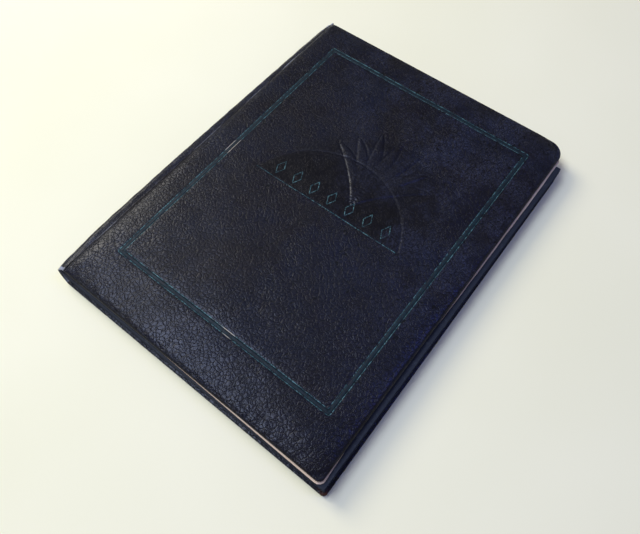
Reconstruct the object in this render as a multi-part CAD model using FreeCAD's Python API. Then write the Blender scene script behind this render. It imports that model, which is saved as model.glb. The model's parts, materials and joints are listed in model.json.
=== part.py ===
"""Scrapbook album: padded leather covers, card leaves on linen guards, rounded leather spine.

The album lies closed on its back cover.  Millimetres.
X runs from the spine to the fore-edge, Y from the tail to the head, Z up.
The origin is the centre of the footprint, on the plane that the back cover rests on.
"""
import FreeCAD, Part
import math
import os

V = FreeCAD.Vector

# ---------------------------------------------------------------- driving dimensions

# covers
FRONT_WIDTH = 222.0        # spine crease to fore-edge
BACK_WIDTH = 227.5
COVER_LENGTH = 301.5
FRONT_CREEP = 3.4          # the front cover sits this far towards the head of the back one
FRONT_HEAD_R = 12.5        # the covers' fore-edge corners
FRONT_TAIL_R = 5.0
BACK_HEAD_R = 19.0
BACK_TAIL_R = 2.5
LEATHER = 0.8
TURN_IN = 0.4              # the leather is pared where it is turned in over the board
TURN_IN_WIDTH = 15.0
BOARD = 1.6
LINING = 0.6
FRONT_LINING_TAIL_R = 3.0  # the front lining card is cut squarer than the leather at the tail
BACK_LINING_INSET = 2.2    # the back lining card stops short of the leather's edge
FRONT_PAD_RISE = 2.6       # wadding under the middle of the leather
BACK_PAD_RISE = 1.0
PAD_SHOULDER = 17.0        # width over which a pad falls to the cover's edge
PAD_CORNER_R = 2.0         # least corner radius on the pad's shoulder
PAD_STEPS = 4

# page block
LEAF_COUNT = 12
LEAF = 0.35
GUARD = 0.2                # linen strip along the leaf's spine edge
GUARD_WIDTH = 18.0
GUARD_FREE = 3.0           # the part of a guard that bends, between leaf and spine
LEAF_GAP = 0.23
PAGE_LENGTH = 286.5
PAGE_TAIL_INSET = 2.1      # the leaves' tail edge behind the back cover's
PAGE_FORE_INSET = 1.5

# spine
SPINE_BULGE = 7.2          # the rounded leather's depth outside the crease
MULL = 0.3                 # lining cloth behind the page block
MULL_CLEARANCE = 0.3       # each side of the cloth
GUARD_CLEARANCE = 0.4      # between that cloth and the guards' edges
FOLD_CLEARANCE = 0.15      # each half of the spine leather, from the fold line

# tooling on the front cover
BORDER_SPINE_INSET = 20.0  # crease to the border's outer line
BORDER_FORE_INSET = 18.8
BORDER_TAIL_INSET = 32.5
BORDER_HEAD_INSET = 25.0
BORDER_LINE = 0.6
BORDER_BAND = 2.6          # sunk band between the two lines
BORDER_CORNER_R = 2.0      # the outer line's corners
TOOLING_DEPTH = 0.25
FOIL = 0.1
RULE_LENGTH = 124.0
RULE_WIDTH = 0.8
RULE_TURN = 0.8            # degrees from the cover's X axis
TITLE_X = 110.5            # middle of the rule, from the crease
TITLE_Y = 146.5            # middle of the rule, from the tail
MARK_COUNT = 7
MARK_WIDTH = 7.0
MARK_HEIGHT = 14.0
MARK_RAISE = 2.0           # rule to the marks
RECESS_RADIUS = 56.0       # arch of smooth leather over the rule

# ---------------------------------------------------------------- derived places

pitch = LEAF + GUARD + LEAF_GAP
cover_edge = LINING + TURN_IN + BOARD + LEATHER
back_inner_z = cover_edge + BACK_PAD_RISE
front_inner_z = back_inner_z + LEAF_COUNT * pitch + LEAF_GAP
album_height = front_inner_z + cover_edge + FRONT_PAD_RISE
album_width = SPINE_BULGE + BACK_WIDTH
album_length = COVER_LENGTH + FRONT_CREEP

spine_x = -album_width / 2
crease_x = spine_x + SPINE_BULGE
back_tail_y = -album_length / 2
front_tail_y = back_tail_y + FRONT_CREEP
page_tail_y = back_tail_y + PAGE_TAIL_INSET
page_head_y = page_tail_y + PAGE_LENGTH
hinge_x = spine_x - FOLD_CLEARANCE
hinge_z = album_height / 2
front_crease_z = front_inner_z + cover_edge
back_crease_z = back_inner_z - cover_edge


# ---------------------------------------------------------------- shape helpers

class Outline:
    """A cover's plan: square at the spine, rounded at its two fore-edge corners."""

    def __init__(self, x0, x1, y0, y1, tail_r, head_r):
        self.x0, self.x1, self.y0, self.y1 = x0, x1, y0, y1
        self.tail_r, self.head_r = tail_r, head_r

    def inset(self, fore, spine=0.0, least_r=0.0):
        """The same plan, drawn in at the fore-edge, head and tail, and at the spine."""
        return Outline(
            self.x0 + spine, self.x1 - fore, self.y0 + fore, self.y1 - fore,
            max(self.tail_r - fore, least_r), max(self.head_r - fore, least_r))

    def corner(self, centre_y, radius, start, z):
        centre = V(self.x1 - radius, centre_y, z)
        angles = [math.radians(start + turn) for turn in (0, 45, 90)]
        return [centre + V(math.cos(a), math.sin(a), 0) * radius for a in angles]

    def wire(self, z):
        tail = self.corner(self.y0 + self.tail_r, self.tail_r, -90, z)
        head = self.corner(self.y1 - self.head_r, self.head_r, 0, z)
        tail_spine, head_spine = V(self.x0, self.y0, z), V(self.x0, self.y1, z)
        return Part.Wire([
            Part.LineSegment(tail_spine, tail[0]).toShape(),
            Part.Arc(*tail).toShape(),
            Part.LineSegment(tail[2], head[0]).toShape(),
            Part.Arc(*head).toShape(),
            Part.LineSegment(head[2], head_spine).toShape(),
            Part.LineSegment(head_spine, tail_spine).toShape(),
        ])

    def plate(self, z, thickness):
        return Part.Face(self.wire(z)).extrude(V(0, 0, thickness))


def block(x0, x1, y0, y1, z, thickness):
    """Square-cornered sheet."""
    return Part.makeBox(x1 - x0, y1 - y0, thickness, V(x0, y0, z))


def pad_sections(plan, z, rise):
    """Outlines that climb a pad's rounded shoulder, from its edge to its flat top."""
    wires = []
    for step in range(PAD_STEPS + 1):
        turn = math.pi / 2 * step / PAD_STEPS
        inset = PAD_SHOULDER * (1 - math.cos(turn))
        wires.append(plan.inset(inset, inset, PAD_CORNER_R).wire(z + rise * math.sin(turn)))
    return wires


def cover(plan, card, rise):
    """The four pieces of a padded cover, inner face on Z = 0 and pad upwards."""
    inner = plan.inset(LEATHER)
    board_z = LINING + TURN_IN
    board = inner.plate(board_z, BOARD)
    wadding = Part.makeLoft(pad_sections(inner, board_z + BOARD, rise), True, True)

    sections = [plan.wire(LINING)] + pad_sections(plan, cover_edge, rise)
    framed = plan.inset(TURN_IN_WIDTH)
    window = block(framed.x0, framed.x1, framed.y0, framed.y1, LINING, TURN_IN)
    leather = Part.makeLoft(sections, True, True).cut(board).cut(wadding).cut(window)

    # the lining card is pressed down inside the turned-in leather
    pressed = block(framed.x0, framed.x1 - LINING, framed.y0 + LINING,
                    framed.y1 - LINING, 0, TURN_IN)
    lining = card.plate(0, LINING).fuse(window).cut(pressed)
    return {"leather": leather, "board": board, "wadding": wadding, "lining": lining}


def spine_radius(edge_z):
    """Radius of the spine's arc from the fold line to a crease at the given height."""
    climb = edge_z - hinge_z
    return (climb ** 2 + SPINE_BULGE ** 2) / (2 * SPINE_BULGE)


front_spine_r = spine_radius(front_crease_z)
back_spine_r = spine_radius(back_crease_z)


def spine_face_x(z, depth):
    """X of the surface that lies the given depth inside the spine leather's outer face."""
    radius = front_spine_r if z > hinge_z else back_spine_r
    return spine_x + radius - math.sqrt((radius - depth) ** 2 - (z - hinge_z) ** 2)


def spine_strip(depth, thickness, z0, z1, tail_y, length):
    """Curved strip that follows the spine's arc between two heights on one side of the fold."""
    radius = front_spine_r if z1 > hinge_z else back_spine_r

    def rod(at_depth):
        return Part.makeCylinder(radius - at_depth, length,
                                 V(spine_x + radius, tail_y, hinge_z), V(0, 1, 0))

    reach = Part.makeBox(SPINE_BULGE, length, z1 - z0, V(spine_x, tail_y, z0))
    return rod(depth).cut(rod(depth + thickness)).common(reach)


def border_ring(inset, width, corner_r, z, thickness):
    """One line of the border, its outer edge the given distance inside the border's own."""
    def filled(at, radius):
        box = block(
            crease_x + BORDER_SPINE_INSET + at,
            crease_x + FRONT_WIDTH - BORDER_FORE_INSET - at,
            front_tail_y + BORDER_TAIL_INSET + at,
            front_tail_y + COVER_LENGTH - BORDER_HEAD_INSET - at, z, thickness)
        if radius <= 0:
            return box
        upright = [e for e in box.Edges if abs(e.tangentAt(e.FirstParameter).z) > 0.5]
        return box.makeFillet(radius, upright)

    return filled(inset, corner_r).cut(filled(inset + width, corner_r - width))


def on_title(shape):
    """Moves a shape drawn around the rule's middle to its place on the front cover."""
    placed = shape.copy()
    placed.rotate(V(0, 0, 0), V(0, 0, 1), RULE_TURN)
    placed.translate(V(crease_x + TITLE_X, front_tail_y + TITLE_Y, 0))
    return placed


def lozenge(centre_x, z):
    base_y = RULE_WIDTH / 2 + MARK_RAISE
    middle_y = base_y + MARK_HEIGHT / 2
    corners = [
        V(centre_x, base_y, z),
        V(centre_x + MARK_WIDTH / 2, middle_y, z),
        V(centre_x, base_y + MARK_HEIGHT, z),
        V(centre_x - MARK_WIDTH / 2, middle_y, z),
    ]
    return Part.Face(Part.makePolygon(corners + corners[:1])).extrude(V(0, 0, FOIL))


def save(name, shape):
    """Writes one node, after its solids are checked."""
    solids = shape.Solids
    if not solids or not shape.isValid() or min(s.Volume for s in solids) <= 0:
        raise ValueError(name + " isn't a sound solid")
    result = solids[0] if len(solids) == 1 else Part.makeCompound(solids)
    result.exportStep(os.path.join("parts", name + ".step"))
    print(f"{name:22s} {len(solids)} solid(s) {result.Volume / 1000:9.3f} cm3")


# ---------------------------------------------------------------- the album's pieces

def back_cover():
    plan = Outline(crease_x, crease_x + BACK_WIDTH, back_tail_y, back_tail_y + COVER_LENGTH,
                   BACK_TAIL_R, BACK_HEAD_R)
    pieces = cover(plan, plan.inset(BACK_LINING_INSET), BACK_PAD_RISE)
    for name, shape in pieces.items():
        turned = shape.mirror(V(0, 0, 0), V(0, 0, 1))
        turned.translate(V(0, 0, back_inner_z))
        pieces[name] = turned
    return pieces


def front_cover():
    plan = Outline(crease_x, crease_x + FRONT_WIDTH, front_tail_y, front_tail_y + COVER_LENGTH,
                   FRONT_TAIL_R, FRONT_HEAD_R)
    card = Outline(plan.x0, plan.x1, plan.y0, plan.y1, FRONT_LINING_TAIL_R, FRONT_HEAD_R)
    pieces = cover(plan, card, FRONT_PAD_RISE)
    for shape in pieces.values():
        shape.translate(V(0, 0, front_inner_z))
    return pieces


def border():
    """Two foil lines with a dark foil band between them, side by side in one groove."""
    floor = album_height - TOOLING_DEPTH
    inner_inset = BORDER_LINE + BORDER_BAND
    band_r = BORDER_CORNER_R - BORDER_LINE
    groove = border_ring(0, inner_inset + BORDER_LINE, BORDER_CORNER_R, floor, TOOLING_DEPTH)
    return groove, {
        "border_line_outer": border_ring(0, BORDER_LINE, BORDER_CORNER_R, floor, FOIL),
        "border_band": border_ring(BORDER_LINE, BORDER_BAND, band_r, floor, FOIL),
        "border_line_inner": border_ring(inner_inset, BORDER_LINE, 0, floor, FOIL),
    }


def title_panel():
    """Arched recess of smooth leather with a foil rule and a row of plain lozenges."""
    floor = album_height - TOOLING_DEPTH
    half = RULE_LENGTH / 2
    disc = Part.makeCylinder(RECESS_RADIUS, TOOLING_DEPTH, V(0, 0, floor))
    arch = disc.common(block(-RECESS_RADIUS, RECESS_RADIUS, 0, RECESS_RADIUS,
                             floor, TOOLING_DEPTH))
    side = RULE_WIDTH / 2
    rule = block(-half, half, -side, side, floor, FOIL)
    groove = block(-half, half, -side, side, floor, TOOLING_DEPTH)
    step = RULE_LENGTH / (MARK_COUNT + 1)
    marks = [lozenge(step * (n + 1) - half, floor) for n in range(MARK_COUNT)]
    pieces = {"title_rule": on_title(rule), "title_marks": on_title(Part.makeCompound(marks))}
    return on_title(arch.fuse(groove)), pieces


def leaves():
    """Card leaves, the first one on top, each with its linen guard on its upper face."""
    pieces = {}
    fore_x = crease_x + BACK_WIDTH - PAGE_FORE_INSET
    edge_depth = LEATHER + MULL_CLEARANCE + MULL + GUARD_CLEARANCE
    for number in range(1, LEAF_COUNT + 1):
        z = back_inner_z + LEAF_GAP + (LEAF_COUNT - number) * pitch
        guard_z = z + LEAF
        guard_x = max(spine_face_x(at, edge_depth) for at in (z, guard_z + GUARD))
        name = f"leaf_{number:02d}"
        pieces[name] = block(guard_x + GUARD_FREE, fore_x, page_tail_y, page_head_y, z, LEAF)
        pieces[name + "_guard"] = block(
            guard_x, guard_x + GUARD_WIDTH, page_tail_y, page_head_y, guard_z, GUARD)
    return pieces


def spine():
    """Spine leather in two halves that meet at the fold line, and the cloth behind the leaves."""
    cloth_depth = LEATHER + MULL_CLEARANCE
    cloth_top = front_inner_z - MULL_CLEARANCE
    cloth_bottom = back_inner_z + MULL_CLEARANCE
    upper = spine_strip(cloth_depth, MULL, hinge_z, cloth_top, page_tail_y, PAGE_LENGTH)
    lower = spine_strip(cloth_depth, MULL, cloth_bottom, hinge_z, page_tail_y, PAGE_LENGTH)
    return {
        "spine_leather_front": spine_strip(
            0, LEATHER, hinge_z + FOLD_CLEARANCE, front_crease_z, front_tail_y, COVER_LENGTH),
        "spine_leather_back": spine_strip(
            0, LEATHER, back_crease_z, hinge_z - FOLD_CLEARANCE, front_tail_y, COVER_LENGTH),
        "spine_lining": upper.fuse(lower),
    }


def main():
    os.makedirs("parts", exist_ok=True)
    back, front = back_cover(), front_cover()
    border_groove, border_foil = border()
    title_sunk, title_foil = title_panel()
    front["leather"] = front["leather"].cut(border_groove).cut(title_sunk)

    for name, shape in back.items():
        save("back_" + name, shape)
    for name, shape in front.items():
        save("front_" + name, shape)
    for group in (leaves(), spine(), border_foil, title_foil):
        for name, shape in group.items():
            save(name, shape)
    print(f"album {album_width:.2f} x {album_length:.2f} x {album_height:.2f}")
    print(f"hinge line at x {hinge_x:.3f}, z {hinge_z:.3f}")


main()
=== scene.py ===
import json
import math

import bpy
import numpy as np
from mathutils import Matrix, Vector

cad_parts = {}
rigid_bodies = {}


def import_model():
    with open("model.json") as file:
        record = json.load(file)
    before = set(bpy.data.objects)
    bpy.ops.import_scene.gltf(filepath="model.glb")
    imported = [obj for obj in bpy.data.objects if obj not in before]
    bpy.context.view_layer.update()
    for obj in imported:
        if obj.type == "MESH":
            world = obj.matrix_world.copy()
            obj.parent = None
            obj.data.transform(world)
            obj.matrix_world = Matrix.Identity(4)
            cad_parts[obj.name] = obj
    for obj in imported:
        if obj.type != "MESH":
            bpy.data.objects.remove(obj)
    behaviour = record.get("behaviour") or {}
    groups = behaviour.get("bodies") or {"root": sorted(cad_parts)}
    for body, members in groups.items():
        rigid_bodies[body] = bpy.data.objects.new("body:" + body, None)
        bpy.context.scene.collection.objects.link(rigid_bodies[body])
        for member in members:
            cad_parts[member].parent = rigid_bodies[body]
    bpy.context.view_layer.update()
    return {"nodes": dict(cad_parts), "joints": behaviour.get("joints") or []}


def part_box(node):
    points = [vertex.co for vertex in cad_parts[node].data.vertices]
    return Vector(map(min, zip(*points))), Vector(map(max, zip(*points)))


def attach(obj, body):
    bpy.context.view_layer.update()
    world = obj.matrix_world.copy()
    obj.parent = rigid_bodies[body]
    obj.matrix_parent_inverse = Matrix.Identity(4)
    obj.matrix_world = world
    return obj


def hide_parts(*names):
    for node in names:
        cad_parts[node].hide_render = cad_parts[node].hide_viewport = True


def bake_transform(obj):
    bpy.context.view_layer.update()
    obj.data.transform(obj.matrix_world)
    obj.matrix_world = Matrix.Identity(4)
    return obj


# Looks of a closed scrapbook album: padded leather covers with foil tooling, wavy card leaves,
# linen guards and a worn leather spine.  Metres, in the CAD frame: X from the spine to the
# fore-edge, Y from the tail to the head, Z up.

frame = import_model()

MM = 0.001

# ------------------------------------------------------------------ sizes and places

FRONT_HEAD_R, FRONT_TAIL_R = 12.5 * MM, 3.6 * MM
BACK_HEAD_R, BACK_TAIL_R = 19.0 * MM, 2.5 * MM
LEATHER = 0.8 * MM
LINING = 0.6 * MM
TURN_IN = 0.4 * MM
TURN_IN_WIDTH = 15.0 * MM
BOARD = 1.6 * MM
SHOULDER = 21.0 * MM           # width over which a pad falls to the cover's edge
RIM_ROUND = 0.9 * MM           # radius where the leather turns down over the board
SPINE_GAP = 0.05 * MM          # spine leather to the fold line, so its opened halves don't cross

LEAF_COUNT = len([n for n in frame["nodes"] if n.startswith("leaf_") and n[5:].isdigit()])
LEAF_NAMES = [f"leaf_{number:02d}" for number in range(1, LEAF_COUNT + 1)]

HINGE = Vector(frame["joints"][0]["pos_m"])
RULE_TURN = math.radians(0.8)
BORDER_CORNER_R = 2.0 * MM

front_low, front_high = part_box("front_leather")
back_low, back_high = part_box("back_leather")
border_low, border_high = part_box("border_line_outer")
rule_low, rule_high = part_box("title_rule")
rule_middle = (rule_low + rule_high) / 2
rule_length = (rule_high.x - rule_low.x) / math.cos(RULE_TURN)

LINE_WIDTH = 0.6 * MM
BAND_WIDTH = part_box("border_line_inner")[0].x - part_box("border_band")[0].x
GROOVE_DEPTH = 0.3 * MM
FOIL = 0.05 * MM
MARK_COUNT = 7
MARK_WIDTH, MARK_HEIGHT = 6.2 * MM, 12.6 * MM
MARK_RAISE = 9.6 * MM          # the rule to the middle of the marks
MARK_LINE = 0.55 * MM


# ------------------------------------------------------------------ plain mesh helpers

def smooth_object(name, verts, faces, material, smooth=True):
    """Mesh object with its place in its mesh."""
    mesh = bpy.data.meshes.new(name)
    mesh.from_pydata([tuple(v) for v in verts], [], [tuple(f) for f in faces])
    mesh.validate()
    mesh.update()
    if smooth:
        mesh.shade_smooth()
    mesh.materials.append(material)
    piece = bpy.data.objects.new(name, mesh)
    bpy.context.scene.collection.objects.link(piece)
    return piece


def add_attribute(piece, name, values):
    layer = piece.data.attributes.new(name, "FLOAT", "POINT")
    layer.data.foreach_set("value", np.asarray(values, np.float32))


def grid_lines(start, end, step, marks=()):
    """Values from start to end, about a step apart, that pass through every mark."""
    stops = sorted({start, end, *[m for m in marks if start < m < end]})
    values = [start]
    for low, high in zip(stops, stops[1:]):
        count = max(1, round((high - low) / step))
        values += [low + (high - low) * n / count for n in range(1, count + 1)]
    return np.array(values)


def ease(t):
    """Smooth step from 0 to 1."""
    t = np.clip(t, 0, 1)
    return t * t * (3 - 2 * t)


def ripple(x, y, size, seed, count=7):
    """Soft uneven waves, from about -1 to 1, with hollows about size apart."""
    rng = np.random.default_rng(seed)
    total = np.zeros_like(x)
    for _ in range(count):
        angle, phase = rng.uniform(0, 2 * math.pi, 2)
        rate = 2 * math.pi / (size * rng.uniform(0.7, 1.6))
        total += np.sin((x * math.cos(angle) + y * math.sin(angle)) * rate + phase)
    return total / math.sqrt(count)


# ------------------------------------------------------------------ finishes

class Graph:
    """A node tree, with short ways to add its nodes."""

    def node(self, kind, settings=None, **inputs):
        made = self.tree.nodes.new(kind)
        for key, value in (settings or {}).items():
            setattr(made, key, value)
        for key, value in inputs.items():
            self.feed(made.inputs[key.replace("_", " ")], value)
        return made

    def feed(self, socket, value):
        if isinstance(value, bpy.types.NodeSocket):
            self.tree.links.new(value, socket)
        else:
            socket.default_value = value

    def math(self, operation, first, second):
        made = self.node("ShaderNodeMath", {"operation": operation})
        self.feed(made.inputs[0], first)
        self.feed(made.inputs[1], second)
        return made.outputs["Value"]

    def vector(self, operation, first, second):
        made = self.node("ShaderNodeVectorMath", {"operation": operation})
        self.feed(made.inputs[0], first)
        self.feed(made.inputs[3 if operation == "SCALE" else 1], second)
        return made.outputs["Vector"]


class Finish(Graph):
    """A procedural material.  Its patterns read Object coordinates."""

    def __init__(self, name, **settings):
        self.material = bpy.data.materials.new(name)
        self.material.use_nodes = True
        self.tree = self.material.node_tree
        self.shader = self.tree.nodes["Principled BSDF"]
        self.place = self.node("ShaderNodeTexCoord").outputs["Object"]
        for socket, value in settings.items():
            self.shader.inputs[socket.replace("_", " ")].default_value = value

    def stretched(self, scale, turn=0.0):
        """Object coordinates, scaled along each axis and turned about Z."""
        mapped = self.node("ShaderNodeMapping", Vector=self.place, Scale=scale,
                           Rotation=(0, 0, turn))
        return mapped.outputs["Vector"]

    def noise(self, scale, detail=3.0, vector=None, rough=0.55, distort=0.0):
        made = self.node("ShaderNodeTexNoise", Vector=vector or self.place, Scale=scale,
                         Detail=detail, Roughness=rough, Distortion=distort)
        return made.outputs["Fac"]

    def cells(self, scale, feature="DISTANCE_TO_EDGE", vector=None, output="Distance"):
        made = self.node("ShaderNodeTexVoronoi", {"feature": feature},
                         Vector=vector or self.place, Scale=scale)
        return made.outputs[output]

    def wander(self, amount, scale):
        """Object coordinates pushed about by noise, so that a pattern isn't regular."""
        push = self.node("ShaderNodeTexNoise", Vector=self.place, Scale=scale, Detail=2.0)
        centred = self.vector("SUBTRACT", push.outputs["Color"], (0.5, 0.5, 0.5))
        return self.vector("ADD", self.place, self.vector("SCALE", centred, amount))

    def attribute(self, name):
        return self.node("ShaderNodeAttribute", {"attribute_name": name}).outputs["Fac"]

    def step(self, value, low, high, to_low=0.0, to_high=1.0):
        """Soft threshold of a value between two others."""
        made = self.node("ShaderNodeMapRange", {"interpolation_type": "SMOOTHSTEP"},
                         Value=value, From_Min=low, From_Max=high, To_Min=to_low, To_Max=to_high)
        return made.outputs["Result"]

    def blend(self, share, first, second):
        """Colour that goes from the first to the second as the share goes from 0 to 1."""
        made = self.node("ShaderNodeMix", {"data_type": "RGBA"})
        self.feed(made.inputs["Factor"], share)
        for socket, colour in ((made.inputs[6], first), (made.inputs[7], second)):
            if isinstance(colour, bpy.types.NodeSocket):
                self.feed(socket, colour)
            else:
                socket.default_value = (*colour, 1.0)
        return made.outputs[2]

    def bump(self, height, distance, strength=1.0, under=None):
        made = self.node("ShaderNodeBump", Height=height, Distance=distance, Strength=strength)
        if under:
            self.feed(made.inputs["Normal"], under)
        return made.outputs["Normal"]

    def done(self, colour, roughness, normal):
        self.feed(self.shader.inputs["Base Color"], colour)
        self.feed(self.shader.inputs["Roughness"], roughness)
        self.feed(self.shader.inputs["Normal"], normal)
        return self.material


def crackled_leather(name, grey_wear_and_crease_highlight=False):
    """Dark navy leather with a crackled grain, rubbed edges and a grey bloom.

    Attributes of the piece: `rim` is its rubbed edges, and on the spine also a painted
    highlight along its crease; `calm` its pressed smooth parts and `bloomed` its dulled grey ones."""
    f = Finish(name, Specular_IOR_Level=0.09, Coat_Weight=0.2, Coat_Roughness=0.17)
    skewed = f.wander(0.0030, 230)
    calm = f.attribute("calm")
    cracks = f.step(f.cells(360, vector=skewed), 0.0, 0.10)
    fine = f.step(f.cells(980, vector=skewed), 0.0, 0.13)
    tight = f.step(f.noise(60, 3), 0.42, 0.6)
    small = f.math("MAXIMUM", fine, f.step(tight, 0.0, 1.0, 0.55, 0.85))
    plates = f.math("MAXIMUM", f.math("MULTIPLY", cracks, small), f.math("MULTIPLY", calm, 0.8))

    tone = f.noise(26, 4, rough=0.65)
    body = f.blend(f.step(tone, 0.35, 0.7), (0.0062, 0.0045, 0.0068), (0.0048, 0.006, 0.0145))
    quiet = f.blend(calm, body, (0.0035, 0.0028, 0.0038))
    grained = f.blend(plates, (0.0016, 0.0014, 0.0020), quiet)

    # grey bloom where the finish has dulled
    blotch = f.step(f.noise(34, 5, rough=0.7), 0.40, 0.62)
    speckle = f.step(f.noise(900, 3, rough=0.75), 0.38, 0.68)
    bloom = f.math("MULTIPLY", f.math("MULTIPLY", blotch, f.attribute("bloomed")), speckle)
    dusty = f.blend(f.math("MULTIPLY", bloom, plates), grained, (0.030, 0.034, 0.058))

    # flecks rubbed through to the pale skin
    fleck = f.step(f.noise(820, 2, rough=0.5), 0.725, 0.775)
    flecked = f.blend(f.math("MULTIPLY", fleck, 0.5), dusty, (0.12, 0.11, 0.12))

    # rubbed edges, brown on the covers; on the spine grey, for its rubbed ends and a painted
    # highlight along its crease
    rim = f.attribute("rim")
    broken = f.math("ADD", rim, f.math("MULTIPLY", f.noise(300, 4, rough=0.7), 0.55))
    edge = f.step(broken, 0.95, 1.3)
    rim_tone = (0.26, 0.27, 0.30) if grey_wear_and_crease_highlight else (0.075, 0.024, 0.010)
    colour = f.blend(edge, flecked, rim_tone)

    gloss = f.step(plates, 0.0, 1.0, 0.62, 0.33)
    dulled = f.math("ADD", gloss, f.math("MULTIPLY", bloom, 0.15))
    roughness = f.math("ADD", dulled, f.step(f.noise(150, 3), 0.3, 0.75, -0.05, 0.1))
    base = f.bump(plates, 0.00013, 0.9)
    rounded = f.bump(f.step(f.cells(360, vector=skewed), 0.0, 0.5), 0.00010, 0.6, base)
    normal = f.bump(f.noise(2600, 2), 0.00003, 0.5, rounded)
    f.feed(f.shader.inputs["Coat Normal"], normal)
    return f.done(colour, roughness, normal)


def worn_foil(name, bright, dull, metallic, loss):
    """Foil pressed into the grain, rubbed away in places down to the leather."""
    f = Finish(name, Metallic=metallic, Specular_IOR_Level=0.2)
    grain = f.step(f.cells(360, vector=f.wander(0.0030, 230)), 0.0, 0.12)
    patch = f.noise(95, 4, rough=0.7)
    tint = f.blend(f.step(f.noise(240, 3), 0.35, 0.65), dull, bright)
    kept = f.blend(f.step(grain, 0.1, 0.9), (0.004, 0.007, 0.009), tint)
    colour = f.blend(f.step(patch, loss, loss + 0.12), kept, (0.012, 0.012, 0.018))
    pale = f.step(f.noise(31, 2, rough=0.4), 0.665, 0.7)
    chipped = f.blend(f.math("MULTIPLY", pale, 0.8 if metallic else 0.0), colour,
                      (0.42, 0.36, 0.27))
    roughness = f.step(patch, 0.35, 0.7, 0.5, 0.68)
    return f.done(chipped, roughness, f.bump(grain, 0.00012, 0.6))


def card(name, pale, dark, fibre, roughness=0.82, stain=0.5):
    """Card with short fibres, soft stains and slightly uneven faces."""
    f = Finish(name, Specular_IOR_Level=0.25)
    hairs = f.noise(900, 4, f.stretched((1.0, 0.22, 1.0), 0.3), rough=0.7)
    crossing = f.noise(700, 4, f.stretched((0.25, 1.0, 1.0), -0.2), rough=0.7)
    mottled = f.step(f.noise(22, 5, rough=0.6), 0.3, 0.75)
    body = f.blend(f.math("MULTIPLY", mottled, stain), pale, dark)
    fibres = f.step(f.math("ADD", hairs, crossing), 1.05, 1.3)
    colour = f.blend(f.math("MULTIPLY", fibres, 0.5), body, fibre)
    rough = f.step(hairs, 0.3, 0.7, roughness - 0.08, roughness + 0.08)
    return f.done(colour, rough, f.bump(f.math("ADD", hairs, crossing), 0.00005, 0.7))


def woven(name, thread, gap, across, sheen=0.0):
    """Plain weave, with uneven threads."""
    f = Finish(name, Specular_IOR_Level=0.2, Sheen_Weight=sheen)
    skewed = f.wander(0.0007, 90)
    settings = {"wave_type": "BANDS", "bands_direction": "X"}
    warp = f.node("ShaderNodeTexWave", settings, Vector=skewed, Scale=across)
    weft = f.node("ShaderNodeTexWave", {**settings, "bands_direction": "Y"},
                  Vector=skewed, Scale=across)
    woof = f.math("MAXIMUM", warp.outputs["Fac"], weft.outputs["Fac"])
    slub = f.noise(260, 4, rough=0.7)
    lit = f.math("MULTIPLY", f.step(woof, 0.25, 0.9), f.step(slub, 0.2, 0.6, 0.6, 1.0))
    roughness = f.step(slub, 0.3, 0.7, 0.78, 0.95)
    return f.done(f.blend(lit, gap, thread), roughness, f.bump(woof, 0.0001, 0.8))


def cotton(name):
    """Loose cotton wadding."""
    f = Finish(name, Specular_IOR_Level=0.1, Sheen_Weight=0.3)
    tufts = f.noise(150, 6, rough=0.75)
    wisps = f.noise(700, 5, f.wander(0.004, 120), rough=0.75)
    body = f.blend(f.step(tufts, 0.3, 0.7), (0.50, 0.46, 0.38), (0.76, 0.73, 0.66))
    colour = f.blend(f.step(wisps, 0.5, 0.75), body, (0.85, 0.83, 0.78))
    return f.done(colour, f.step(wisps, 0.3, 0.7, 0.88, 0.98), f.bump(tufts, 0.0008, 0.8))


def studio_floor(name):
    f = Finish(name, Specular_IOR_Level=0.2)
    tone = f.step(f.noise(3.0, 3), 0.3, 0.7)
    colour = f.blend(tone, (0.82, 0.765, 0.50), (0.86, 0.80, 0.54))
    return f.done(colour, f.step(f.noise(60, 3), 0.3, 0.7, 0.85, 0.95),
                  f.bump(f.noise(400, 3), 0.00005, 0.4))


leather = crackled_leather("crackled_navy_leather")
# the spine's grey rim is rubbed wear at its ends and a painted highlight along its crease
spine_leather = crackled_leather("rubbed_spine_leather_painted_crease_highlight", grey_wear_and_crease_highlight=True)
pale_foil = worn_foil("pale_green_foil", (0.09, 0.19, 0.185), (0.018, 0.055, 0.06), 0.3, 0.54)
teal_foil = worn_foil("dark_teal_foil", (0.0035, 0.017, 0.021), (0.003, 0.009, 0.013), 0.0, 0.58)
cream_card = card("aged_cream_card", (0.70, 0.53, 0.37), (0.50, 0.32, 0.18), (0.80, 0.68, 0.52))
black_card = card("black_leaf_card", (0.016, 0.019, 0.026), (0.028, 0.031, 0.036),
                  (0.07, 0.078, 0.08), 0.78)
stained_card = card("stained_grey_card", (0.30, 0.27, 0.23), (0.16, 0.15, 0.14), (0.42, 0.40, 0.36))
grey_board = card("grey_board", (0.36, 0.30, 0.22), (0.25, 0.20, 0.14), (0.5, 0.44, 0.34), 0.9)
black_linen = woven("black_guard_linen", (0.035, 0.035, 0.04), (0.006, 0.006, 0.008), 620)
binding_cloth = woven("open_binding_cloth", (0.055, 0.052, 0.05), (0.012, 0.011, 0.011), 520, 0.2)
wadding = cotton("cotton_wadding")


# ------------------------------------------------------------------ covers

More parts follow.
